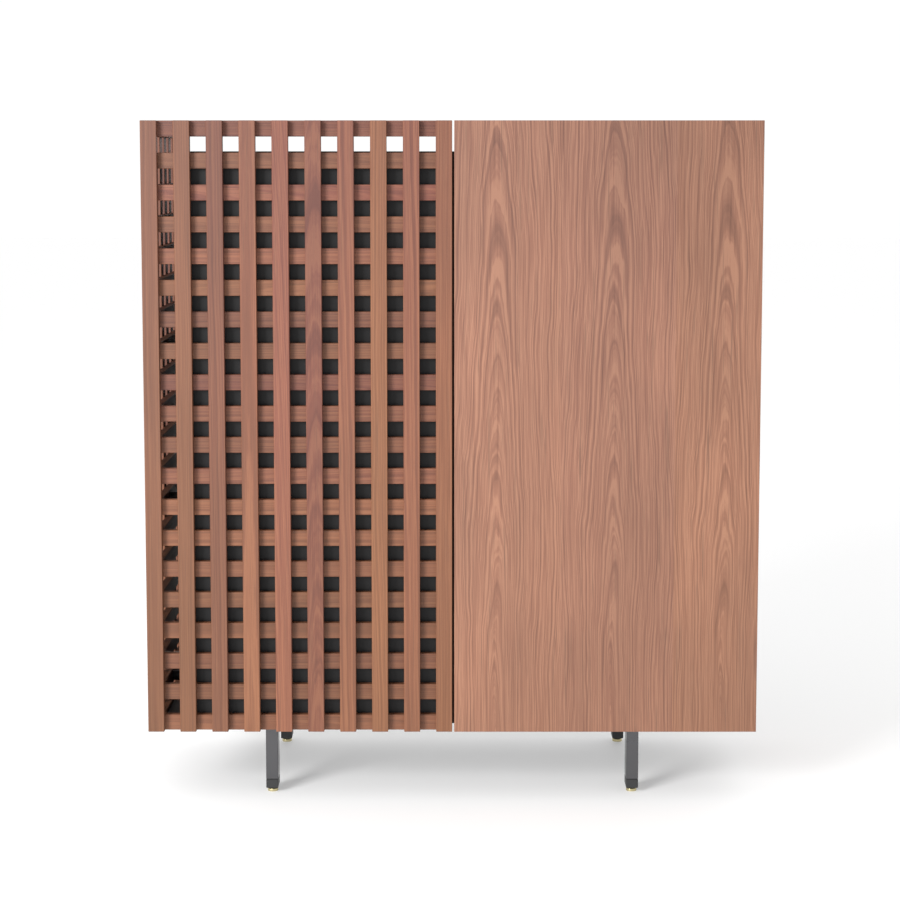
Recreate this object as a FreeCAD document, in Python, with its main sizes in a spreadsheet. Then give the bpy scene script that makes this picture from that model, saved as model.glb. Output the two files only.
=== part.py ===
import FreeCAD, Part
import os
import re

# A highboard on four legs. A black box sits inside a walnut surround: a lattice door and a lattice
# side on the left, a plain door and a plain side on the right. The surround stands clear of the box
# at both sides and rises above its top.
# Frame: X to the right, Y to the back, Z up. The origin is on the floor, under the middle.

doc = FreeCAD.newDocument("lattice_highboard")
sheet = doc.addObject("Spreadsheet::Sheet", "dims")

dimensions = {
    # overall
    "width": 1200,
    "depth": 450,
    "overall_height": 1340,
    "surround_height": 1200,
    # doors and lattice
    "lattice_door_width": 600,
    "door_seam": 4,
    "bar_thickness": 15,
    "rail_thickness": 15,
    "door_bars": 10,
    "side_bars": 7,
    "rails": 20,
    "bar_arris": 0.8,
    "board_arris": 0.5,
    "backing_thickness": 16,
    "backing_edge_gap": 2,
    # box
    "box_inset": 62,
    "box_drop": 59,
    "box_lift": 4,
    "box_front_gap": 2,
    "board": 18,
    "back_thickness": 6,
    "side_gap": 6,
    "shelf_setback": 22,
    "shelf_play": 1,
    "upper_shelf_height": 985,
    "lower_shelf_height": 557,
    "shelf_pin_radius": 2.5,
    "shelf_pin_length": 16,
    "shelf_pin_inset": 50,
    "spacer_radius": 10,
    "spacer_inset": 110,
    # hinges
    "pivot_inset": 6,
    "pivot_setback": 24,
    "rail_end_inset": 12,
    "knuckle_radius": 4.5,
    "pin_radius": 2,
    "pin_clearance": 0.08,
    "web_inner": 2.3,
    "knuckle_height": 10,
    "knuckle_play": 0.4,
    "leaf_thickness": 2,
    "leaf_gap": 0.8,
    "door_leaf_length": 48,
    "flange_length": 60,
    # screws
    "screw_radius": 1.9,
    "screw_head_radius": 3.8,
    "screw_length": 12,
    "hole_clearance": 0.3,
    "flange_screw_start": 12,
    "flange_screw_step": 14,
    "flange_screw_low": 8,
    "flange_screw_high": 22,
    "leaf_screw_near": 24,
    "leaf_screw_far": 44,
    # catches
    "catch_length": 46,
    "catch_size": 14,
    "catch_offset": 20,
    "strike_thickness": 1.5,
    "catch_margin": 1,
    # legs
    "leg_width": 24,
    "leg_depth": 40,
    "leg_wall": 2,
    "leg_arris": 1.2,
    "leg_centre": 361,
    "leg_setback": 4,
    "plate_width": 60,
    "plate_length": 70,
    "plate_thickness": 4,
    "plate_screw_inset": 8,
    "plate_screw_end": 10,
    "shoe_height": 18,
    "shoe_plug_height": 14,
    "shoe_clearance": 0.2,
    "glide_radius": 10.5,
    "glide_height": 10,
}
for row, (alias, value) in enumerate(dimensions.items(), 1):
    sheet.set(f"A{row}", alias)
    sheet.set(f"B{row}", str(value))
    sheet.setAlias(f"B{row}", alias)
doc.recompute()


def formula(text):
    """The text with every word turned into a reference to the sheet."""
    return re.sub(r"[A-Za-z_]\w*", lambda word: "dims." + word.group(0), str(text))


def place(thing, x, y, z):
    for axis, text in zip("xyz", (x, y, z)):
        thing.setExpression(f"Placement.Base.{axis}", formula(text))


# Planes and sizes that several pieces share, as formulas on the sheet's words.
front = "(-depth / 2)"
door_thickness = "(bar_thickness + rail_thickness)"
door_back = f"({front} + {door_thickness})"
backing_back = f"({door_back} + backing_thickness)"
box_front = f"({backing_back} + box_front_gap)"
box_back = "(depth / 2 - back_thickness)"
box_depth = f"({box_back} - {box_front})"
side_front = f"({door_back} + side_gap)"
side_depth = f"(depth / 2 - {side_front})"
surround_base = "(overall_height - surround_height)"
box_base = f"({surround_base} + box_lift)"
box_top = "(overall_height - box_drop)"
box_height = f"({box_top} - {box_base})"
box_left = "(-width / 2 + box_inset)"
box_width = "(width - 2 * box_inset)"
bar_width = "(lattice_door_width / (2 * door_bars - 1))"
rail_height = "(surround_height / (2 * rails - 1))"
side_pitch = f"(({side_depth} - {bar_width}) / (side_bars - 1))"

sub_parts = []


def keep(thing, label):
    thing.Label = label
    sub_parts.append(thing)
    return thing


def block(name, length, width, height):
    """A plain box primitive with its sizes on the sheet."""
    box = doc.addObject("Part::Box", name)
    for prop, text in (("Length", length), ("Width", width), ("Height", height)):
        box.setExpression(prop, formula(text))
    return box


def rod(name, radius, height, axis=None):
    """A cylinder, along Z unless another axis is given."""
    cylinder = doc.addObject("Part::Cylinder", name)
    cylinder.setExpression("Radius", formula(radius))
    cylinder.setExpression("Height", formula(height))
    if axis:
        cylinder.Placement.Rotation = FreeCAD.Rotation(FreeCAD.Vector(0, 0, 1), axis)
    return cylinder


def timber(name, length, width, height, arris):
    """A board or stick with its arrises taken off, as one body."""
    body = doc.addObject("PartDesign::Body", name)
    solid = body.newObject("PartDesign::AdditiveBox", name + "_blank")
    for prop, text in (("Length", length), ("Width", width), ("Height", height)):
        solid.setExpression(prop, formula(text))
    doc.recompute()
    chamfer = body.newObject("PartDesign::Chamfer", name + "_arris")
    chamfer.Base = (solid, ["Face1"])
    chamfer.UseAllEdges = True
    chamfer.setExpression("Size", formula(arris))
    body.Tip = chamfer
    return body


def group(name, things):
    """Separate solids that share one node."""
    compound = doc.addObject("Part::Compound", name)
    compound.Links = things
    return keep(compound, name)


def board(label, length, width, height, x, y, z):
    body = timber(label, length, width, height, "board_arris")
    place(body, x, y, z)
    return keep(body, label)


def inwards(side, start, length):
    """Low X of a stretch that starts so far in from the outer face on that side."""
    if side == "left":
        return f"(-width / 2 + ({start}))"
    return f"(width / 2 - ({start}) - {length})"


def add_lattice_door():
    """Ten upright bars in front of twenty rails, which stop short of the hinge pin."""
    for index in range(dimensions["door_bars"]):
        label = f"lattice_door_bar_{index + 1:02d}"
        bar = timber(label, bar_width, "bar_thickness", "surround_height", "bar_arris")
        place(bar, f"-width / 2 + {2 * index} * {bar_width}", front, surround_base)
        keep(bar, label)
    rails = []
    for index in range(dimensions["rails"]):
        rail = timber(f"door_rail_{index + 1:02d}", "lattice_door_width - rail_end_inset",
                      "rail_thickness", rail_height, "bar_arris")
        place(rail, "-width / 2 + rail_end_inset", f"{front} + bar_thickness",
              f"{surround_base} + {2 * index} * {rail_height}")
        rails.append(rail)
    group("lattice_door_rails", rails)


def add_lattice_side():
    """The same lattice along the left side, bars outside and rails inside."""
    for index in range(dimensions["side_bars"]):
        label = f"lattice_side_bar_{index + 1}"
        bar = timber(label, "bar_thickness", bar_width, "surround_height", "bar_arris")
        place(bar, "-width / 2", f"{side_front} + {index} * {side_pitch}", surround_base)
        keep(bar, label)
    rails = []
    for index in range(dimensions["rails"]):
        rail = timber(f"side_rail_{index + 1:02d}", "rail_thickness", side_depth, rail_height, "bar_arris")
        place(rail, "-width / 2 + bar_thickness", side_front,
              f"{surround_base} + {2 * index} * {rail_height}")
        rails.append(rail)
    group("lattice_side_rails", rails)


def add_plain_door():
    """A thick veneered board with a rebate down its hinge edge for the knuckles."""
    width_right = "(width - lattice_door_width - door_seam)"
    blank = timber("plain_door_blank", width_right, door_thickness, "surround_height", "board_arris")
    rebate = block("plain_door_rebate", "rail_end_inset", "rail_thickness", "surround_height")
    place(blank, "width / 2 - " + width_right, front, surround_base)
    place(rebate, "width / 2 - rail_end_inset", f"{front} + bar_thickness", surround_base)
    door = doc.addObject("Part::Cut", "plain_door_board")
    door.Base = blank
    door.Tool = rebate
    keep(door, "plain_door_board")


def add_box():
    """The black box: a wide bottom that reaches both side panels, sides, top, partition and back."""
    floor_top = f"({box_base} + board)"
    above_floor = f"({box_height} - board)"
    inner_width = f"{box_width} - 2 * board"
    board("box_bottom", f"width - 2 * {door_thickness}", box_depth, "board",
          f"-width / 2 + {door_thickness}", box_front, box_base)
    board("box_left_side", "board", box_depth, above_floor, box_left, box_front, floor_top)
    board("box_right_side", "board", box_depth, above_floor, f"-{box_left} - board", box_front, floor_top)
    board("box_top", inner_width, box_depth, "board", f"{box_left} + board", box_front, f"{box_top} - board")
    board("box_partition", "board", box_depth, f"{above_floor} - board", "-board / 2", box_front, floor_top)
    board("box_back", box_width, "back_thickness", box_height, box_left, box_back, box_base)


def add_backing_panels():
    """The black panel behind each door's walnut face, which closes the box."""
    half = f"({box_width} / 2 - 2 * backing_edge_gap)"
    board("lattice_door_backing", half, "backing_thickness", box_height,
          f"{box_left} + backing_edge_gap", door_back, box_base)
    board("plain_door_backing", f"{half} - door_seam / 2", "backing_thickness", box_height,
          "backing_edge_gap + door_seam / 2", door_back, box_base)


def add_shelves():
    """Two loose shelves each side of the partition, each on four round pins."""
    shelf_width = f"(({box_width} - 3 * board) / 2 - 2 * shelf_play)"
    shelf_depth = f"({box_depth} - shelf_setback)"
    pins = []
    for side, low_x in (("left", f"({box_left} + board)"), ("right", "(board / 2)")):
        for level in ("upper", "lower"):
            base = f"{level}_shelf_height"
            board(f"{side}_{level}_shelf", shelf_width, shelf_depth, "board", f"{low_x} + shelf_play",
                  f"{box_front} + shelf_setback", base)
            high_x = f"({low_x} + {shelf_width} + 2 * shelf_play)"
            for wall_x in (low_x, high_x):
                for y in (f"{box_front} + shelf_setback + shelf_pin_inset", f"{box_back} - shelf_pin_inset"):
                    pin = rod(f"shelf_pin_{len(pins) + 1}", "shelf_pin_radius", "shelf_pin_length",
                              FreeCAD.Vector(1, 0, 0))
                    place(pin, f"{wall_x} - shelf_pin_length / 2", y, f"{base} - shelf_pin_radius")
                    pins.append(pin)
    group("shelf_pins", pins)


def rail_base(number):
    """Height of a rail's underside, counted from the bottom."""
    return f"({surround_base} + {2 * (number - 1)} * {rail_height})"


spacer_rails = (2, 8, 13, 19)


def add_side_spacers():
    """Round black distance pieces that hold both side panels off the box."""
    spacers = []
    length = f"(box_inset - {door_thickness})"
    for side in ("left", "right"):
        for number in spacer_rails:
            for y in (f"{side_front} + spacer_inset", "depth / 2 - spacer_inset / 2"):
                spacer = rod(f"spacer_{len(spacers) + 1}", "spacer_radius", length, FreeCAD.Vector(1, 0, 0))
                place(spacer, inwards(side, door_thickness, length), y, f"{rail_base(number)} + {rail_height} / 2")
                spacers.append(spacer)
    group("side_panel_spacers", spacers)


def screw(name, tip, direction):
    """A countersunk screw whose shank ends at the tip and whose head lies along the direction."""
    turn = FreeCAD.Rotation(FreeCAD.Vector(0, 0, 1), direction)
    shank = doc.addObject("Part::Cylinder", name + "_shank")
    shank.setExpression("Radius", formula("screw_radius"))
    shank.setExpression("Height", formula("screw_length"))
    head = doc.addObject("Part::Cone", name + "_head")
    head.setExpression("Radius1", formula("screw_radius"))
    head.setExpression("Radius2", formula("screw_head_radius"))
    head.setExpression("Height", formula("leaf_thickness"))
    head.setExpression("Placement.Base.z", formula("screw_length"))
    whole = doc.addObject("Part::Fuse", name)
    whole.Base = shank
    whole.Tool = head
    whole.Placement.Rotation = turn
    place(whole, *tip)
    return whole


def screw_hole(name, tip, direction):
    """The countersunk hole in a leaf or plate for that screw."""
    turn = FreeCAD.Rotation(FreeCAD.Vector(0, 0, 1), direction)
    bore = doc.addObject("Part::Cylinder", name + "_bore")
    bore.setExpression("Radius", formula("screw_radius + hole_clearance"))
    bore.setExpression("Height", formula("screw_length + plate_thickness"))
    sink = doc.addObject("Part::Cone", name + "_sink")
    sink.setExpression("Radius1", formula("screw_radius + hole_clearance"))
    sink.setExpression("Radius2", formula("screw_head_radius + hole_clearance"))
    sink.setExpression("Height", formula("leaf_thickness"))
    sink.setExpression("Placement.Base.z", formula("screw_length"))
    whole = doc.addObject("Part::Fuse", name)
    whole.Base = bore
    whole.Tool = sink
    whole.Placement.Rotation = turn
    place(whole, *tip)
    return whole


def drilled(label, solids, holes):
    """Several primitives fused, less their holes."""
    fused = doc.addObject("Part::MultiFuse", label + "_blank")
    fused.Shapes = solids
    cutter = doc.addObject("Part::MultiFuse", label + "_holes")
    cutter.Shapes = holes
    piece = doc.addObject("Part::Cut", label)
    piece.Base = fused
    piece.Tool = cutter
    return keep(piece, label)


pivot_y = f"({front} + pivot_setback)"
frame_leaf_front = f"({door_back} + leaf_thickness + leaf_gap)"
hinge_rails = {"bottom": 3, "middle": 11, "top": 17}


def hinge_parts(side, level, box_screws, door_screws, pins):
    """One butt hinge: a cranked frame leaf on the box's side, a flat door leaf and a pressed pin."""
    name = f"{side}_hinge_{level}"
    base = f"({rail_base(hinge_rails[level])} + ({rail_height} - 3 * knuckle_height) / 2)"
    pivot_x = inwards(side, "pivot_inset", "0")
    inner = FreeCAD.Vector(1, 0, 0) if side == "left" else FreeCAD.Vector(-1, 0, 0)
    outer = -inner

    def knuckle(tag, start, height):
        barrel = rod(f"{name}_{tag}_knuckle", "knuckle_radius", height)
        place(barrel, pivot_x, pivot_y, f"{base} + {start}")
        return barrel

    def plate(tag, start, length, y, width, z, height):
        piece = block(f"{name}_{tag}", length, width, height)
        place(piece, inwards(side, start, length), y, z)
        return piece

    def pin_bore(tag, clearance):
        bore = rod(f"{name}_{tag}_bore", f"pin_radius + {clearance}", "5 * knuckle_height")
        place(bore, pivot_x, pivot_y, f"{base} - knuckle_height")
        return bore

    # frame leaf: middle knuckle, web, plate behind the door and a flange back along the box's side
    web_thickness = "(knuckle_radius - web_inner)"
    web_reach = f"({frame_leaf_front} + leaf_thickness - {pivot_y})"
    solids = [
        knuckle("frame", "knuckle_height", "knuckle_height"),
        plate("frame_web", "pivot_inset - knuckle_radius", web_thickness, pivot_y, web_reach,
              f"{base} + knuckle_height", "knuckle_height"),
        plate("frame_plate", "(pivot_inset - knuckle_radius)", "(box_inset - pivot_inset + knuckle_radius)",
              frame_leaf_front, "leaf_thickness", base, "3 * knuckle_height"),
        plate("frame_flange", "(box_inset - leaf_thickness)", "leaf_thickness", frame_leaf_front,
              "flange_length", base, "3 * knuckle_height"),
    ]
    holes = [pin_bore("frame", "0")]
    for index, screw_height in enumerate(("flange_screw_low", "flange_screw_high", "flange_screw_low")):
        tip = (inwards(side, "(box_inset + screw_length)", "0"),
               f"{box_front} + flange_screw_start + {index} * flange_screw_step", f"{base} + {screw_height}")
        holes.append(screw_hole(f"{name}_frame_hole_{index}", tip, outer))
        box_screws.append(screw(f"{name}_frame_screw_{index}", tip, outer))
    drilled(f"{name}_frame_leaf", solids, holes)

    # door leaf: two outer knuckles with their webs, on a plate across the back of one rail
    web_reach = f"({door_back} + leaf_thickness - {pivot_y})"
    short = "(knuckle_height - knuckle_play)"
    upper = "(2 * knuckle_height + knuckle_play)"
    solids = [plate("door_plate", "(pivot_inset + web_inner)", "door_leaf_length", door_back,
                    "leaf_thickness", base, "3 * knuckle_height")]
    for tag, start in (("door_low", "0"), ("door_high", upper)):
        solids.append(knuckle(tag, start, short))
        solids.append(plate(tag + "_web", "(pivot_inset + web_inner)", web_thickness, pivot_y, web_reach,
                            f"{base} + {start}", short))
    holes = [pin_bore("door", "pin_clearance")]
    for index, reach in enumerate(("leaf_screw_near", "leaf_screw_far")):
        tip = (inwards(side, reach, "0"), f"{door_back} - screw_length", f"{base} + 1.5 * knuckle_height")
        holes.append(screw_hole(f"{name}_door_hole_{index}", tip, FreeCAD.Vector(0, 1, 0)))
        door_screws.append(screw(f"{name}_door_screw_{index}", tip, FreeCAD.Vector(0, 1, 0)))
    drilled(f"{name}_door_leaf", solids, holes)

    pin = rod(f"{name}_pin", "pin_radius", "3 * knuckle_height")
    place(pin, pivot_x, pivot_y, base)
    pins.append(pin)


def add_hinges_and_legs():
    box_screws = []
    pins = []
    for side, door in (("left", "lattice_door"), ("right", "plain_door")):
        door_screws = []
        for level in hinge_rails:
            hinge_parts(side, level, box_screws, door_screws, pins)
        group(f"{door}_hinge_screws", door_screws)
    group("hinge_pins", pins)
    add_legs(box_screws)
    group("box_screws", box_screws)


def add_legs(box_screws):
    """Flat tube legs with a screwed plate on top, a plastic shoe and a round metal glide below."""
    shoes = []
    glides = []
    tube_base = "(glide_height + shoe_height)"
    tube_height = f"({box_base} - plate_thickness - {tube_base})"
    for row in ("front", "back"):
        for side in ("left", "right"):
            name = f"{row}_{side}_leg"
            sign = "-" if side == "left" else ""
            centre_x = f"({sign}leg_centre)"
            leg_y = (f"({box_front} + leg_setback)" if row == "front"
                     else "(depth / 2 - leg_setback - leg_depth)")
            plate_y = leg_y if row == "front" else "(depth / 2 - leg_setback - plate_length)"
            tube = timber(f"{name}_tube", "leg_width", "leg_depth", tube_height, "leg_arris")
            place(tube, f"{centre_x} - leg_width / 2", leg_y, tube_base)
            plate = block(f"{name}_plate", "plate_width", "plate_length", "plate_thickness")
            place(plate, f"{centre_x} - plate_width / 2", plate_y, f"{box_base} - plate_thickness")
            bore = block(f"{name}_hollow", "leg_width - 2 * leg_wall", "leg_depth - 2 * leg_wall", tube_height)
            place(bore, f"{centre_x} - leg_width / 2 + leg_wall", f"{leg_y} + leg_wall", tube_base)
            holes = [bore]
            ends = ("plate_screw_end", "(plate_length - plate_screw_end)")
            for number, (across, along) in enumerate((way, end) for end in ends for way in (-1, 1)):
                tip = (f"{centre_x} + {across} * (plate_width / 2 - plate_screw_inset)", f"{plate_y} + {along}",
                       f"{box_base} - plate_thickness + leaf_thickness + screw_length")
                down = FreeCAD.Vector(0, 0, -1)
                holes.append(screw_hole(f"{name}_hole_{number}", tip, down))
                box_screws.append(screw(f"{name}_screw_{number}", tip, down))
            drilled(name, [tube, plate], holes)
            shoes.append(leg_shoe(name, centre_x, leg_y))
            glide = rod(f"{name}_glide", "glide_radius", "glide_height")
            place(glide, centre_x, f"{leg_y} + leg_depth / 2", "0")
            glides.append(glide)
    group("leg_shoes", shoes)
    group("leg_glides", glides)


def leg_shoe(name, centre_x, leg_y):
    """A moulded end the size of the tube, with a plug that goes up inside it."""
    shoe = timber(f"{name}_shoe_body", "leg_width", "leg_depth", "shoe_height", "leg_arris")
    place(shoe, f"{centre_x} - leg_width / 2", leg_y, "glide_height")
    margin = "(leg_wall + shoe_clearance)"
    plug = block(f"{name}_shoe_plug", f"leg_width - 2 * {margin}", f"leg_depth - 2 * {margin}",
                 "shoe_plug_height")
    place(plug, f"{centre_x} - leg_width / 2 + {margin}", f"{leg_y} + {margin}", "glide_height + shoe_height")
    whole = doc.addObject("Part::Fuse", f"{name}_shoe")
    whole.Base = shoe
    whole.Tool = plug
    return whole


def add_catches():
    """Magnetic catches under the box's top, each facing a steel strike plate on its door."""
    catches = []
    for side, x, label in (("left", "(-catch_offset - catch_length)", "lattice_door_strike"),
                           ("right", "catch_offset", "plain_door_strike")):
        catch = block(f"{side}_catch", "catch_length", "catch_size", "catch_size")
        place(catch, x, f"{box_front} + catch_margin", f"{box_top} - board - catch_size")
        catches.append(catch)
        strike = block(label, "catch_length", "strike_thickness", "catch_size")
        place(strike, x, backing_back, f"{box_top} - board - catch_size - catch_margin")
        keep(strike, label)
    group("magnetic_catches", catches)


add_lattice_door()
add_lattice_side()
add_plain_door()
board("plain_side_board", door_thickness, side_depth, "surround_height", f"width / 2 - {door_thickness}",
      side_front, surround_base)
add_box()
add_backing_panels()
add_shelves()
add_side_spacers()
add_hinges_and_legs()
add_catches()
doc.recompute()

failed = [thing.Name for thing in doc.Objects if {"Invalid", "Error"} & set(thing.State)]
if failed:
    raise RuntimeError("objects that did not recompute: " + ", ".join(failed))
for thing in sub_parts:
    if thing.Shape.isNull() or not thing.Shape.isValid() or not thing.Shape.Solids:
        raise RuntimeError("no sound solid in " + thing.Label)

os.makedirs("parts", exist_ok=True)
for thing in sub_parts:
    thing.Shape.exportStep(f"parts/{thing.Label}.step")
print(len(sub_parts), "sub-parts,", sum(len(thing.Shape.Solids) for thing in sub_parts), "solids")
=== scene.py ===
import math

import bmesh
import bpy
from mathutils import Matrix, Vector


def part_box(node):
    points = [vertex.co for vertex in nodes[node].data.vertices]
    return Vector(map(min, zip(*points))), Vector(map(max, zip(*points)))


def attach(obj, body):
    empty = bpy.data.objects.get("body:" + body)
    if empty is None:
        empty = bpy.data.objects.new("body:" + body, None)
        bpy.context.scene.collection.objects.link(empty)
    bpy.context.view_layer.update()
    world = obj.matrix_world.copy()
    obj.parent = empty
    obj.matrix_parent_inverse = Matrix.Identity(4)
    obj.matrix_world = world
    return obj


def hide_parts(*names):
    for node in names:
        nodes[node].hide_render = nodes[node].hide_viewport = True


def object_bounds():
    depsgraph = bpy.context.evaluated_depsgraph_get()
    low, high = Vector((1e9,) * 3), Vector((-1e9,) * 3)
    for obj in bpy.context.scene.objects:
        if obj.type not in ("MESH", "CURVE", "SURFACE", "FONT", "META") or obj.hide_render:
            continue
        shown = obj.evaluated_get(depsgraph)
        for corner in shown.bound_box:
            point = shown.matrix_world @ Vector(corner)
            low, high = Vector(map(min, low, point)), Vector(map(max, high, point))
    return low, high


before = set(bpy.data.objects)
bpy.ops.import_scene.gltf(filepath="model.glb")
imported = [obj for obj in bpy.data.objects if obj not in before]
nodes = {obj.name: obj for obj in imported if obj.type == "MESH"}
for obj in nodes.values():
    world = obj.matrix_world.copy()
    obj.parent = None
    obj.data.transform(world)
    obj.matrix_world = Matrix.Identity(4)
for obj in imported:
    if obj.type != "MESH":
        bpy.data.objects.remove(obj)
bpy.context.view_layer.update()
low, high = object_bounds()
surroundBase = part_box("lattice_door_bar_01")[0].z
noiseSpan = (0.3, 0.7)             # where most values of a noise lie
smoothAngle = 35                   # degrees
squareOn = 0.99                    # a face's normal this far along an axis faces that way


def linearColour(hexText):
    channels = [int(hexText[i:i + 2], 16) / 255 for i in (1, 3, 5)]
    return [c / 12.92 if c <= 0.04045 else ((c + 0.055) / 1.055) ** 2.4 for c in channels] + [1.0]


def perMetre(millimetres):
    # the scale of a pattern whose features are this wide
    return 1000 / millimetres


def addNode(tree, kind, links=None, **settings):
    # links gives each socket, by name or number, a fixed value or the node or socket that feeds it
    node = tree.nodes.new(kind)
    for name, value in settings.items():
        setattr(node, name, value)
    for socket, source in (links or {}).items():
        target = node.inputs[socket]
        if isinstance(source, bpy.types.Node):
            source = source.outputs[0]
        if isinstance(source, bpy.types.NodeSocket):
            tree.links.new(source, target)
        else:
            target.default_value = source
    return node


def newMaterial(name):
    material = bpy.data.materials.new(name)
    material.use_nodes = True
    material.node_tree.nodes.clear()
    return material, material.node_tree


def dress(material, *names):
    # the CAD's own meshes take their finish through their material slots
    for name in names:
        slots = nodes[name].data.materials
        slots.clear()
        slots.append(material)


# solid walnut, planed and oiled: ring lines down each stick, open pores, and sticks that differ in tone
latticeWood = {
    "dark": "#422A21",
    "middle": "#634033",
    "light": "#7D5845",
    "warm": "#835B41",
    "rose": "#6E423A",
    "cast": 0.50,                  # how much of the warm or rose goes over the brown
    "toneSpread": 0.36,            # how far one stick is lighter or darker than the next
    "heartAcross": (-0.10, 0.05),  # metres from a stick's edge to the middle of its tree
    "heartDepth": (0.0, 0.06),     # and from its face
    "slope": (-0.03, 0.05),        # how fast the saw leaves the middle of the tree
    "wander": 0.016,
    "ragged": 0.0018,              # frayed edges of the ring lines
    "ringMm": 4.35,                # between growth rings
    "ringStep": 3.71,              # so that no stick repeats the next one's rings
    "contrast": 0.17,              # a smaller number draws the grain harder
    "saturation": 1.12,
    "topShadeTone": 0.93,               # painted shade: the wood is drawn a little darker towards its top
    "cloudTone": 0.10,
    "fibreMm": 1.61,               # really about 0.3 mm, drawn coarser so that it shows
    "roughness": 0.52,
}

# walnut veneer, crown cut, slip matched and sanded: tall narrow arches in each leaf, straight stripes between
sheetVeneer = {
    "dark": "#4E3227",
    "middle": "#7B5443",
    "light": "#906853",
    "warm": "#936441",
    "rose": "#80554A",
    "cast": 0.22,
    "toneSpread": 0.05,
    "heartAcross": (-0.100, -0.092),
    "heartDepth": (-0.006, 0.0),
    "slope": (0.040, 0.046),
    "wander": 0.050,
    "ragged": 0.0016,
    "ringMm": 3.45,
    "ringStep": 0.0012,
    "contrast": 0.34,
    "saturation": 1.02,
    # painted shade: the veneer is drawn darker towards its top
    "topShadeTone": 0.86,
    "cloudTone": 0.13,
    "fibreMm": 3.03,               # bundles of fibres, as a sliced sheet shows them
    "roughness": 0.46,
}

# what both kinds of walnut share, in millimetres across the grain and along it
walnutGrain = {
    "wanderAcrossMm": 143.0,
    "wanderAlongMm": 417.0,
    "cloudAcrossMm": 143.0,
    "cloudAlongMm": 500.0,
    "fibreAlongMm": 200.0,
    "frayAlongMm": 62.0,
    "frayFibres": 4.0,             # fibres to one frayed tooth of a ring line
    "wanderStep": 40.0,            # how far the trunk's waviness moves on with one ring step
    "fibreWeight": 0.8,
    "rampMiddle": 0.87,
    "lightSide": 0.8,              # the ramp's light half against its dark half
    "floorLean": -0.25,            # towards orange
    "topLean": 0.35,               # towards rose
    "poreSpan": (0.58, 0.70),
    "poreDepth": 0.6,
    "glossSpread": (-0.07, 0.08),
    "oilIor": 1.5,
    "bumpStrength": 0.25,
    "bumpDistance": 0.0004,
    # the painted shade at the top begins at this height and is fullest at the next, in metres
    "topShadeStarts": 0.95,
    "topShadeEnds": 1.30,
}


def drawnOutNoise(tree, grainAxes, places, acrossMm, alongMm, **settings):
    # noise squeezed across the grain and drawn out along it
    across, depth, along = grainAxes
    acrossSpot, throughSpot, alongSpot = places
    spot = addNode(tree, "ShaderNodeCombineXYZ", {
        across: addNode(tree, "ShaderNodeMath", {0: acrossSpot, 1: perMetre(acrossMm)}, operation="MULTIPLY"),
        depth: addNode(tree, "ShaderNodeMath", {0: throughSpot, 1: perMetre(acrossMm)}, operation="MULTIPLY"),
        along: addNode(tree, "ShaderNodeMath", {0: alongSpot, 1: perMetre(alongMm)}, operation="MULTIPLY")})
    return addNode(tree, "ShaderNodeTexNoise", {"Vector": spot, "Scale": 1.0, **settings})


def heartDistance(tree, looks, luck, wander, inStick, fromFace, alongSpot):
    # how far each spot is from the middle of the tree, which every stick or leaf passes in its own way
    drawn = [addNode(tree, "ShaderNodeMapRange", {0: luck.outputs[dice], 3: looks[key][0], 4: looks[key][1]})
             for dice, key in ((0, "heartAcross"), (2, "heartDepth"), (1, "slope"))]
    heartAcross, heartDepth, slope = drawn
    centred = addNode(tree, "ShaderNodeMath", {0: wander, 1: 0.5}, operation="SUBTRACT")
    beside = addNode(tree, "ShaderNodeMath", {0: inStick, 1: heartAcross}, operation="ADD")
    behind = addNode(tree, "ShaderNodeMath", {0: fromFace, 1: heartDepth}, operation="ADD")
    u = addNode(tree, "ShaderNodeMath", {0: centred, 1: looks["wander"], 2: beside}, operation="MULTIPLY_ADD")
    v = addNode(tree, "ShaderNodeMath", {0: alongSpot, 1: slope, 2: behind}, operation="MULTIPLY_ADD")
    spot = addNode(tree, "ShaderNodeCombineXYZ", {0: u, 1: v})
    return addNode(tree, "ShaderNodeVectorMath", {0: spot}, operation="LENGTH").outputs["Value"]


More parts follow.
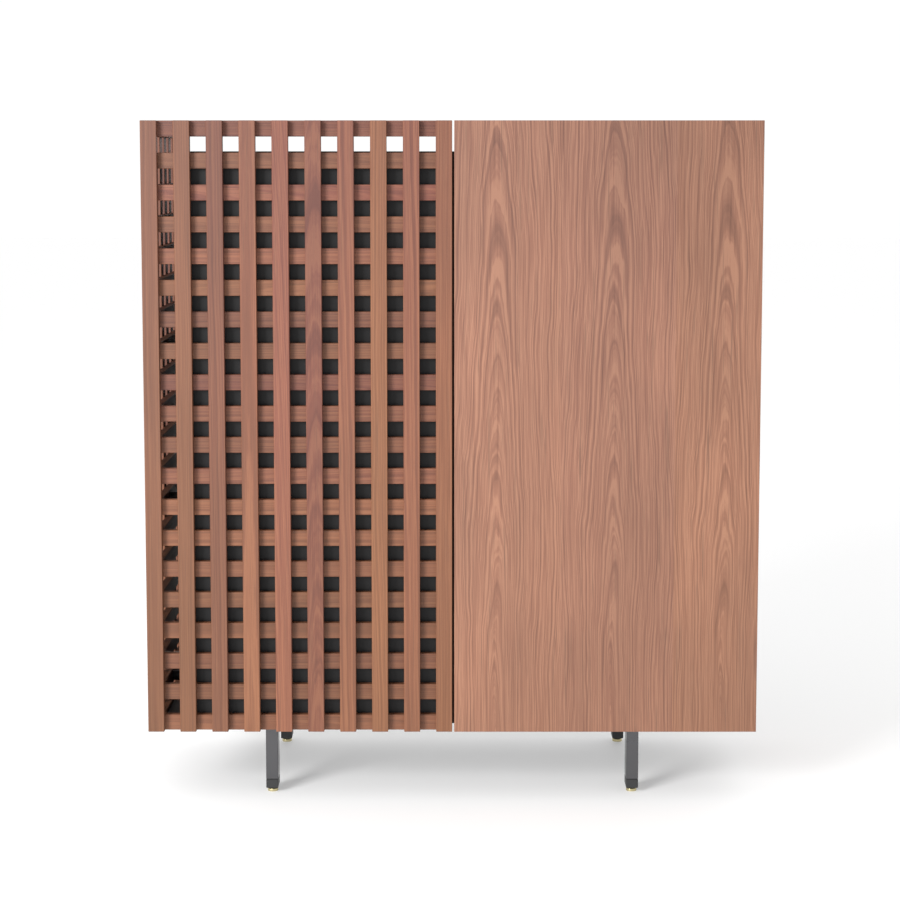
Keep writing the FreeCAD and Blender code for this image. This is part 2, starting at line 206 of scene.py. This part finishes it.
def addWalnut(name, looks, grainAxes, face, origin, pitch, seed):
    # grainAxes run across, through and along one stick or leaf; face is where its outer face lies,
    # and origin and pitch say where each stick or leaf begins
    grain = walnutGrain
    across, _, along = grainAxes
    material, tree = newMaterial(name)
    place = addNode(tree, "ShaderNodeTexCoord")
    axes = addNode(tree, "ShaderNodeSeparateXYZ", {0: place.outputs["Object"]})
    places = [axes.outputs[axis] for axis in grainAxes]
    acrossSpot, throughSpot, alongSpot = places
    height = axes.outputs["Z"]
    fromFace = addNode(tree, "ShaderNodeMath", {0: throughSpot, 1: face}, operation="SUBTRACT")
    counted = addNode(tree, "ShaderNodeMapRange", {0: acrossSpot, 1: origin, 2: origin + pitch}, clamp=False)
    number = addNode(tree, "ShaderNodeMath", {0: counted}, operation="FLOOR")
    fromOrigin = addNode(tree, "ShaderNodeMath", {0: acrossSpot, 1: origin}, operation="SUBTRACT")
    inStick = addNode(tree, "ShaderNodeMath", {0: fromOrigin, 1: pitch}, operation="FLOORED_MODULO")
    ticket = addNode(tree, "ShaderNodeMath", {0: number, 1: seed}, operation="ADD")
    dice = addNode(tree, "ShaderNodeTexWhiteNoise", {"W": ticket}, noise_dimensions="1D")
    luck = addNode(tree, "ShaderNodeSeparateColor", {0: dice.outputs["Color"]})

    # growth rings, their lines frayed along the grain
    wanderSpot = addNode(tree, "ShaderNodeCombineXYZ", {
        0: addNode(tree, "ShaderNodeMath", {0: inStick, 1: perMetre(grain["wanderAcrossMm"])},
                   operation="MULTIPLY"),
        1: addNode(tree, "ShaderNodeMath", {0: number, 1: looks["ringStep"] * grain["wanderStep"], 2: seed},
                   operation="MULTIPLY_ADD"),
        2: addNode(tree, "ShaderNodeMath", {0: alongSpot, 1: perMetre(grain["wanderAlongMm"])},
                   operation="MULTIPLY")})
    wander = addNode(tree, "ShaderNodeTexNoise", {"Vector": wanderSpot, "Scale": 1.0, "Detail": 3.0,
                                                  "Roughness": 0.5})
    radius = heartDistance(tree, looks, luck, wander, inStick, fromFace, alongSpot)
    fray = drawnOutNoise(tree, grainAxes, places, looks["fibreMm"] * grain["frayFibres"],
                         grain["frayAlongMm"], Detail=2.0)
    frayed = addNode(tree, "ShaderNodeMath", {0: fray, 1: looks["ragged"], 2: radius},
                     operation="MULTIPLY_ADD")
    ringSpot = addNode(tree, "ShaderNodeMath", {0: number, 1: looks["ringStep"], 2: frayed},
                       operation="MULTIPLY_ADD")
    rings = addNode(tree, "ShaderNodeTexNoise", {"W": ringSpot, "Scale": perMetre(looks["ringMm"]),
                                                 "Detail": 3.0, "Roughness": 0.7}, noise_dimensions="1D")

    # fibres over the rings, and the two together through one ramp of browns
    fibres = drawnOutNoise(tree, grainAxes, places, looks["fibreMm"], grain["fibreAlongMm"], Detail=3.0,
                           Roughness=0.6)
    lines = addNode(tree, "ShaderNodeMath", {0: fibres, 1: grain["fibreWeight"], 2: rings},
                    operation="MULTIPLY_ADD")
    tint = addNode(tree, "ShaderNodeValToRGB", {0: lines})
    stops = tint.color_ramp.elements
    stops[0].position, stops[0].color = grain["rampMiddle"] - looks["contrast"], linearColour(looks["dark"])
    stops[1].position = grain["rampMiddle"] + looks["contrast"] * grain["lightSide"]
    stops[1].color = linearColour(looks["light"])
    stops.new(grain["rampMiddle"]).color = linearColour(looks["middle"])

    # each board leans to orange or to rose, more to orange near the floor
    lift = addNode(tree, "ShaderNodeMapRange", {0: height, 1: surroundBase, 2: high.z,
                                                3: grain["floorLean"], 4: grain["topLean"]})
    leaning = addNode(tree, "ShaderNodeMath", {0: lift, 1: luck.outputs[1]}, operation="ADD")
    cast = addNode(tree, "ShaderNodeMix", {0: leaning, 6: linearColour(looks["warm"]),
                                           7: linearColour(looks["rose"])}, data_type="RGBA")
    casted = addNode(tree, "ShaderNodeMix", {0: looks["cast"], 6: tint, 7: cast.outputs[2]},
                     data_type="RGBA")

    # its own tone, slow clouds over that, and painted shade darkening the top
    ownTone = addNode(tree, "ShaderNodeMapRange", {0: luck.outputs[2], 3: 1 - looks["toneSpread"] / 2,
                                                   4: 1 + looks["toneSpread"] / 2})
    cloudSpot = addNode(tree, "ShaderNodeCombineXYZ", {
        across: addNode(tree, "ShaderNodeMath", {0: acrossSpot, 1: perMetre(grain["cloudAcrossMm"]), 2: seed},
                        operation="MULTIPLY_ADD"),
        along: addNode(tree, "ShaderNodeMath", {0: alongSpot, 1: perMetre(grain["cloudAlongMm"])},
                       operation="MULTIPLY")})
    cloud = addNode(tree, "ShaderNodeTexNoise", {"Vector": cloudSpot, "Scale": 1.0, "Detail": 2.0})
    clouds = addNode(tree, "ShaderNodeMapRange", {0: cloud, 1: noiseSpan[0], 2: noiseSpan[1],
                                                  3: 1 - looks["cloudTone"], 4: 1 + looks["cloudTone"]})
    # painted shade, growing darker towards the top of the cabinet
    topShadeTone = addNode(tree, "ShaderNodeMapRange", {0: height, 1: grain["topShadeStarts"], 2: grain["topShadeEnds"],
                                                   3: 1.0, 4: looks["topShadeTone"]})
    clouded = addNode(tree, "ShaderNodeMath", {0: ownTone, 1: clouds}, operation="MULTIPLY")
    tone = addNode(tree, "ShaderNodeMath", {0: clouded, 1: topShadeTone}, operation="MULTIPLY")
    toned = addNode(tree, "ShaderNodeHueSaturation", {"Saturation": looks["saturation"], "Value": tone,
                                                      "Color": casted.outputs[2]})

    # open pores are dark, duller and a little sunk
    pores = addNode(tree, "ShaderNodeMapRange", {0: fibres, 1: grain["poreSpan"][0],
                                                 2: grain["poreSpan"][1], 3: 0.0, 4: grain["poreDepth"]})
    porous = addNode(tree, "ShaderNodeMix", {0: pores, 6: toned, 7: linearColour(looks["dark"])},
                     data_type="RGBA")
    sheen = addNode(tree, "ShaderNodeMapRange", {0: fibres, 1: noiseSpan[0], 2: noiseSpan[1],
                                                 3: looks["roughness"] + grain["glossSpread"][0],
                                                 4: looks["roughness"] + grain["glossSpread"][1]})
    relief = addNode(tree, "ShaderNodeBump", {"Height": fibres, "Strength": grain["bumpStrength"],
                                              "Distance": grain["bumpDistance"]})
    surface = addNode(tree, "ShaderNodeBsdfPrincipled", {
        "Base Color": porous.outputs[2], "Roughness": sheen, "Normal": relief, "IOR": grain["oilIor"]})
    addNode(tree, "ShaderNodeOutputMaterial", {"Surface": surface})
    return material


# where the sticks and the veneer leaves begin
barLow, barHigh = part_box("lattice_door_bar_01")
barWidth = barHigh.x - barLow.x
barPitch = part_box("lattice_door_bar_02")[0].x - barLow.x
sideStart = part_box("lattice_side_bar_1")[0].y
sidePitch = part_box("lattice_side_bar_2")[0].y - sideStart
railSteps = 39                     # twenty rails and the nineteen gaps between them
railPitch = (high.z - surroundBase) / railSteps * 2
railStart = surroundBase - railPitch / 4
barStart = low.x - barWidth / 2
sideBarStart = sideStart - barWidth / 2
leafWidth = 0.222
doorLeafStart = -0.01
sideLeafStart = -0.24

doorBars = addWalnut("oiledWalnutDoorBars", latticeWood, "XYZ", low.y, barStart, barPitch, seed=11.0)
doorRails = addWalnut("oiledWalnutDoorRails", latticeWood, "ZYX", low.y, railStart, railPitch, seed=31.0)
sideBars = addWalnut("oiledWalnutSideBars", latticeWood, "YXZ", low.x, sideBarStart, sidePitch, seed=51.0)
sideRails = addWalnut("oiledWalnutSideRails", latticeWood, "ZXY", low.x, railStart, railPitch, seed=71.0)
doorVeneer = addWalnut("slipMatchedWalnutDoor", sheetVeneer, "XYZ", low.y, doorLeafStart, leafWidth, seed=3.0)
sideVeneer = addWalnut("slipMatchedWalnutSide", sheetVeneer, "YXZ", high.x, sideLeafStart, leafWidth,
                       seed=9.0)
dress(doorBars, *[name for name in nodes if name.startswith("lattice_door_bar")])
dress(sideBars, *[name for name in nodes if name.startswith("lattice_side_bar")])
dress(doorRails, "lattice_door_rails")
dress(sideRails, "lattice_side_rails")
dress(doorVeneer, "plain_door_board")
dress(sideVeneer, "plain_side_board")
print("walnut")

# black lacquer sprayed on board: nearly matt, with a faint orange peel and a slow haze in its gloss
boxLacquer = {
    "colour": "#121112",
    "hazeColour": "#1A191A",
    "roughness": 0.45,
    "peelMm": 3.8,
    "peelStrength": 0.06,
    "peelDistance": 0.0004,
    "hazeMm": 200.0,
    "glossSpread": (-0.05, 0.08),
    "clearIor": 1.35,              # a matting agent keeps its reflections low
}


def addSprayedLacquer(name):
    looks = boxLacquer
    material, tree = newMaterial(name)
    place = addNode(tree, "ShaderNodeTexCoord").outputs["Object"]
    peel = addNode(tree, "ShaderNodeTexNoise", {"Vector": place, "Scale": perMetre(looks["peelMm"]),
                                                "Detail": 1.0})
    haze = addNode(tree, "ShaderNodeTexNoise", {"Vector": place, "Scale": perMetre(looks["hazeMm"]),
                                                "Detail": 3.0})
    tint = addNode(tree, "ShaderNodeMix", {0: haze, 6: linearColour(looks["colour"]),
                                           7: linearColour(looks["hazeColour"])}, data_type="RGBA")
    gloss = addNode(tree, "ShaderNodeMapRange", {0: haze, 3: looks["roughness"] + looks["glossSpread"][0],
                                                 4: looks["roughness"] + looks["glossSpread"][1]})
    relief = addNode(tree, "ShaderNodeBump", {"Height": peel, "Strength": looks["peelStrength"],
                                              "Distance": looks["peelDistance"]})
    surface = addNode(tree, "ShaderNodeBsdfPrincipled", {
        "Base Color": tint.outputs[2], "Roughness": gloss, "Normal": relief, "IOR": looks["clearIor"]})
    addNode(tree, "ShaderNodeOutputMaterial", {"Surface": surface})
    return material


blackLacquer = addSprayedLacquer("sprayedBlackLacquer")
boxBoards = [name for name in nodes if name.startswith("box_") and name != "box_screws"]
dress(blackLacquer, "side_panel_spacers", *boxBoards,
      *[name for name in nodes if name.endswith(("_shelf", "_backing"))])
print("lacquer")

# the fittings: gritMm is the grain of the surface, drawn coarser than real, and relief how deep it reads
fittings = {
    # dark plating over drawn steel tube: soft broad highlights
    "blackNickelPlatedSteel": {"colour": "#5E5E60", "roughness": 0.3, "metallic": 1.0, "gritMm": 1.1,
                               "relief": 0.05},
    # zinc over pressed steel: pale, slightly clouded
    "zincPlatedSteel": {"colour": "#B9B8B2", "roughness": 0.34, "metallic": 1.0, "gritMm": 2.0,
                        "relief": 0.08},
    # turned and polished: small bright highlights
    "turnedPaleBrass": {"colour": "#C9BD94", "roughness": 0.18, "metallic": 1.0, "gritMm": 3.3,
                        "relief": 0.03},
    # moulded in a fine spark-eroded tool: dull, with an even grain
    "mouldedBlackPlastic": {"colour": "#232324", "roughness": 0.5, "metallic": 0.0, "gritMm": 0.7,
                            "relief": 0.2},
}
fittingSmear = {
    "smearMm": 70.0,               # the slow change of gloss from handling
    "glossSpread": (-0.06, 0.08),
    "gritDistance": 0.0003,
}


def addFitting(name):
    looks = fittings[name]
    smear = fittingSmear
    material, tree = newMaterial(name)
    place = addNode(tree, "ShaderNodeTexCoord").outputs["Object"]
    grit = addNode(tree, "ShaderNodeTexNoise", {"Vector": place, "Scale": perMetre(looks["gritMm"]),
                                                "Detail": 2.0})
    cloudy = addNode(tree, "ShaderNodeTexNoise", {"Vector": place, "Scale": perMetre(smear["smearMm"]),
                                                  "Detail": 3.0})
    gloss = addNode(tree, "ShaderNodeMapRange", {0: cloudy, 1: noiseSpan[0], 2: noiseSpan[1],
                                                 3: looks["roughness"] + smear["glossSpread"][0],
                                                 4: looks["roughness"] + smear["glossSpread"][1]})
    relief = addNode(tree, "ShaderNodeBump", {"Height": grit, "Strength": looks["relief"],
                                              "Distance": smear["gritDistance"]})
    surface = addNode(tree, "ShaderNodeBsdfPrincipled", {
        "Base Color": linearColour(looks["colour"]), "Metallic": looks["metallic"],
        "Roughness": gloss, "Normal": relief})
    addNode(tree, "ShaderNodeOutputMaterial", {"Surface": surface})
    return material


legNickel = addFitting("blackNickelPlatedSteel")
zinc = addFitting("zincPlatedSteel")
brass = addFitting("turnedPaleBrass")
plastic = addFitting("mouldedBlackPlastic")
dress(legNickel, *[name for name in nodes if name.endswith("_leg")])
dress(zinc, "box_screws", "hinge_pins", "shelf_pins", "lattice_door_hinge_screws", "plain_door_hinge_screws",
      "lattice_door_strike", "plain_door_strike", *[name for name in nodes if name.endswith("_leaf")])
dress(brass, "leg_glides")
dress(plastic, "leg_shoes", "magnetic_catches")
print("fittings")


def selectFaces(test):
    # only the faces of the piece in edit mode whose middle and normal pass the test are selected
    bpy.ops.mesh.select_all(action="DESELECT")
    mesh = bmesh.from_edit_mesh(bpy.context.object.data)
    for face in mesh.faces:
        face.select = test(face.calc_center_median(), face.normal)
    mesh.select_flush_mode()
    bmesh.update_edit_mesh(bpy.context.object.data)


def addBlock(middle, size):
    bpy.ops.object.select_all(action="DESELECT")
    bpy.ops.mesh.primitive_cube_add(size=1, location=middle)
    block = bpy.context.object
    block.scale = size
    bpy.ops.object.transform_apply(location=True, rotation=True, scale=True)
    return block


def addRod(sides, radius, bottom, height):
    bpy.ops.object.select_all(action="DESELECT")
    bpy.ops.mesh.primitive_cylinder_add(vertices=sides, radius=radius, depth=height,
                                        location=bottom + Vector((0, 0, height / 2)))
    bpy.ops.object.transform_apply(location=True, rotation=True, scale=True)
    return bpy.context.object


def settle(piece, name, body, material):
    # the finished piece: named, at the origin, in its material and on its body
    bpy.ops.object.transform_apply(location=True, rotation=True, scale=True)
    bpy.ops.object.shade_smooth_by_angle(angle=math.radians(smoothAngle))
    piece.name = name
    piece.data.materials.clear()
    piece.data.materials.append(material)
    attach(piece, body)
    return piece


# turned glides: a flat foot with rounded rims on a screwed stem
glide = {
    "footRadius": 0.0105,
    "footHeight": 0.0055,
    "rim": 0.0009,
    "stemRadius": 0.0055,
    "stemTop": 0.0102,             # just inside the shoe
    "sides": 48,
    "tubeMiddle": 0.020,           # from the leg's outer edge to the middle of its tube
    "middleReach": 0.0001,         # the face left by the inset has its middle this near the axis
}


def addGlide(name, x, y):
    piece = addRod(glide["sides"], glide["footRadius"], Vector((x, y, 0)), glide["footHeight"])
    bpy.ops.object.mode_set(mode="EDIT")
    selectFaces(lambda middle, normal: abs(normal.z) > squareOn)
    bpy.ops.mesh.region_to_loop()
    bpy.ops.mesh.bevel(offset=glide["rim"], segments=3)
    selectFaces(lambda middle, normal: normal.z > squareOn)
    bpy.ops.mesh.inset(thickness=glide["footRadius"] - glide["rim"] - glide["stemRadius"])
    selectFaces(lambda middle, normal: normal.z > squareOn
                and math.hypot(middle.x - x, middle.y - y) < glide["middleReach"])
    bpy.ops.mesh.extrude_region_move(TRANSFORM_OT_translate={
        "value": (0, 0, glide["stemTop"] - glide["footHeight"])})
    bpy.ops.object.mode_set(mode="OBJECT")
    return settle(piece, name, "cabinet", brass)


for row in ("front", "back"):
    for side in ("left", "right"):
        legLow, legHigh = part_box(f"{row}_{side}_leg")
        tubeY = legLow.y + glide["tubeMiddle"] if row == "front" else legHigh.y - glide["tubeMiddle"]
        foot = addGlide(f"{row}{side.title()}Glide", (legLow.x + legHigh.x) / 2, tubeY)
        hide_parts("leg_glides")
print("glides")

# countersunk screws with a cross recess, in the hinge leaves and the leg plates
screw = {
    "shankRadius": 0.0019,
    "headRadius": 0.0038,
    "headHeight": 0.002,
    "shankLength": 0.012,
    "tipTaper": 0.4,               # of the shank's radius
    "recessLength": 0.0042,
    "recessWidth": 0.0009,
    "recessDepth": 0.0013,
    "sides": 32,
    "doorReaches": (0.024, 0.044),         # from the cabinet's outer face
    "flangeStart": 0.012,                  # from the box's front edge
    "flangeStep": 0.014,
    "flangeLifts": (0.008, 0.022, 0.008),  # above the leaf's lower edge
    "flangeThickness": 0.002,
    "plateInset": 0.008,
    "plateEnd": 0.010,
    "plateThickness": 0.004,
}


def addMasterScrew():
    # along Z, with the head's flat face at Z = 0 and the shank below it
    total = screw["shankLength"] + screw["headHeight"]
    master = addRod(screw["sides"], screw["shankRadius"], Vector((0, 0, -total)), screw["shankLength"])
    bpy.ops.object.mode_set(mode="EDIT")
    selectFaces(lambda middle, normal: normal.z > squareOn)
    bpy.ops.mesh.extrude_region_move(TRANSFORM_OT_translate={"value": (0, 0, screw["headHeight"])})
    grow = screw["headRadius"] / screw["shankRadius"]
    bpy.ops.transform.resize(value=(grow, grow, 1))
    selectFaces(lambda middle, normal: normal.z < -squareOn)
    bpy.ops.mesh.bevel(offset=screw["shankRadius"] * screw["tipTaper"], segments=1)
    bpy.ops.object.mode_set(mode="OBJECT")
    for size in ((screw["recessLength"], screw["recessWidth"], 2 * screw["recessDepth"]),
                 (screw["recessWidth"], screw["recessLength"], 2 * screw["recessDepth"])):
        cutter = addBlock((0, 0, 0), size)
        bpy.ops.object.select_all(action="DESELECT")
        master.select_set(True)
        bpy.context.view_layer.objects.active = master
        recess = master.modifiers.new("recess", "BOOLEAN")
        recess.object = cutter
        recess.operation = "DIFFERENCE"
        bpy.ops.object.modifier_apply(modifier="recess")
        bpy.data.objects.remove(cutter)
    return master


def addScrews(name, body, node, places):
    # places are the middle of each head's face and the way it faces
    copies = []
    for point, facing in places:
        copy = masterScrew.copy()
        copy.data = masterScrew.data.copy()
        bpy.context.collection.objects.link(copy)
        copy.location = point
        copy.rotation_euler = Vector(facing).to_track_quat("Z", "Y").to_euler()
        copies.append(copy)
    bpy.ops.object.select_all(action="DESELECT")
    for copy in copies:
        copy.select_set(True)
    bpy.context.view_layer.objects.active = copies[0]
    bpy.ops.object.join()
    screws = settle(bpy.context.object, name, body, zinc)
    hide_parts(node)


masterScrew = addMasterScrew()
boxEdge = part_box("box_left_side")[0]
boxScrewPlaces = []
for side, way, door in (("left", -1, "lattice_door"), ("right", 1, "plain_door")):
    doorScrewPlaces = []
    for level in ("bottom", "middle", "top"):
        leafLow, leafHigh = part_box(f"{side}_hinge_{level}_door_leaf")
        for reach in screw["doorReaches"]:
            point = (way * (high.x - reach), leafHigh.y, (leafLow.z + leafHigh.z) / 2)
            doorScrewPlaces.append((point, (0, 1, 0)))
        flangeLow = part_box(f"{side}_hinge_{level}_frame_leaf")[0]
        for number, lift in enumerate(screw["flangeLifts"]):
            point = (way * (screw["flangeThickness"] - boxEdge.x),
                     boxEdge.y + screw["flangeStart"] + screw["flangeStep"] * number, flangeLow.z + lift)
            boxScrewPlaces.append((point, (way, 0, 0)))
    addScrews(f"{side}DoorScrews", door, f"{door}_hinge_screws", doorScrewPlaces)
for row in ("front", "back"):
    for side in ("left", "right"):
        plateLow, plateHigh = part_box(f"{row}_{side}_leg")
        for x in (plateLow.x + screw["plateInset"], plateHigh.x - screw["plateInset"]):
            for y in (plateLow.y + screw["plateEnd"], plateHigh.y - screw["plateEnd"]):
                boxScrewPlaces.append(((x, y, plateHigh.z - screw["plateThickness"]), (0, 0, -1)))
addScrews("boxScrews", "cabinet", "box_screws", boxScrewPlaces)
bpy.data.objects.remove(masterScrew)
print("screws")

# magnetic catches: a moulded case with a sunk front, and two steel poles in it
catch = {
    "arris": 0.0012,
    "poleFrame": 0.003,            # the case's wall round the sunk front
    "poleSink": 0.0008,
    "poleHeight": 0.002,
    "poleDepth": 0.004,
    "poleArris": 0.0003,
    "poleLifts": (0.25, 0.75),     # of the height between the walls
}


def addCatch(name, caseLow, caseHigh):
    case = addBlock((caseLow + caseHigh) / 2, caseHigh - caseLow)
    bpy.ops.object.mode_set(mode="EDIT")
    bpy.ops.mesh.select_all(action="SELECT")
    bpy.ops.mesh.bevel(offset=catch["arris"], segments=3)
    selectFaces(lambda middle, normal: normal.y < -squareOn)
    bpy.ops.mesh.inset(thickness=catch["poleFrame"])
    bpy.ops.mesh.extrude_region_move(TRANSFORM_OT_translate={"value": (0, catch["poleSink"], 0)})
    bpy.ops.object.mode_set(mode="OBJECT")
    settle(case, name, "cabinet", plastic)
    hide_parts("magnetic_catches")
    size = caseHigh - caseLow
    for number, lift in enumerate(catch["poleLifts"]):
        middle = Vector((caseLow.x + size.x / 2, caseLow.y + catch["poleDepth"] / 2,
                         caseLow.z + catch["poleFrame"] + lift * (size.z - 2 * catch["poleFrame"])))
        pole = addBlock(middle, (size.x - 4 * catch["poleFrame"], catch["poleDepth"], catch["poleHeight"]))
        bpy.ops.object.mode_set(mode="EDIT")
        bpy.ops.mesh.select_all(action="SELECT")
        bpy.ops.mesh.bevel(offset=catch["poleArris"], segments=2)
        bpy.ops.object.mode_set(mode="OBJECT")
        settle(pole, f"{name}Pole{number}", "cabinet", zinc)


catchLow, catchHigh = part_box("magnetic_catches")
strikeLow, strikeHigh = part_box("plain_door_strike")
caseSize = Vector((strikeHigh.x - strikeLow.x, catchHigh.y - catchLow.y, catchHigh.z - catchLow.z))
addCatch("leftCatch", catchLow, catchLow + caseSize)
addCatch("rightCatch", catchHigh - caseSize, catchHigh)
print("catches")

# studio: a white room, one soft lamp high on the left, and a pale acrylic table lit faintly from below
studio = {
    "floorColour": "#D4D4D4",
    "floorGlow": 0.42,
    "floorSize": 60,
    "sandingMm": 25.0,
    "floorRoughness": (0.55, 0.65),
    "roomColour": "#FFFFFF",
    "roomStrength": 1.02,
    "keyPower": 430.0,
    "keySize": 2.2,
    "keyPlace": (-3.6, -4.6, 2.6),
    "cameraDistance": 3.95,        # from the doors' front
    "cameraHeight": 1.26,
    "cameraTilt": 5.5,             # degrees down
    "cameraLens": 81.8,
    "cameraShift": (-0.0024, -0.101),
}


def addFloor():
    bpy.ops.object.select_all(action="DESELECT")
    bpy.ops.mesh.primitive_plane_add(size=studio["floorSize"], location=(0, 0, 0))
    floor = bpy.context.object
    floor.name = "studioFloor"
    material, tree = newMaterial("castAcrylicTable")   # satin from sanding, evenly pale
    place = addNode(tree, "ShaderNodeTexCoord").outputs["Object"]
    sanding = addNode(tree, "ShaderNodeTexNoise", {"Vector": place, "Scale": perMetre(studio["sandingMm"]),
                                                   "Detail": 2.0})
    gloss = addNode(tree, "ShaderNodeMapRange", {0: sanding, 3: studio["floorRoughness"][0],
                                                 4: studio["floorRoughness"][1]})
    surface = addNode(tree, "ShaderNodeBsdfPrincipled", {
        "Base Color": linearColour(studio["floorColour"]), "Roughness": gloss,
        "Emission Color": linearColour(studio["floorColour"]), "Emission Strength": studio["floorGlow"]})
    addNode(tree, "ShaderNodeOutputMaterial", {"Surface": surface})
    floor.data.materials.append(material)


def addRoomAndLamp():
    world = bpy.data.worlds.new("whiteRoom")
    world.use_nodes = True
    back = world.node_tree.nodes["Background"]
    back.inputs["Color"].default_value = linearColour(studio["roomColour"])
    back.inputs["Strength"].default_value = studio["roomStrength"]
    bpy.context.scene.world = world
    bpy.ops.object.light_add(type="AREA", location=studio["keyPlace"])
    key = bpy.context.object
    key.name = "softKey"
    key.data.energy = studio["keyPower"]
    key.data.size = studio["keySize"]
    aim = (high + low) / 2 - key.location
    key.rotation_euler = aim.to_track_quat("-Z", "Y").to_euler()


def addCamera():
    bpy.ops.object.camera_add(
        location=(0, low.y - studio["cameraDistance"], studio["cameraHeight"]),
        rotation=(math.radians(90 - studio["cameraTilt"]), 0, 0))
    camera = bpy.context.object
    camera.data.lens = studio["cameraLens"]
    camera.data.shift_x, camera.data.shift_y = studio["cameraShift"]
    bpy.context.scene.camera = camera
    bpy.context.scene.view_settings.view_transform = "Standard"   # keeps the white room white


addFloor()
addRoomAndLamp()
addCamera()
print("studio")
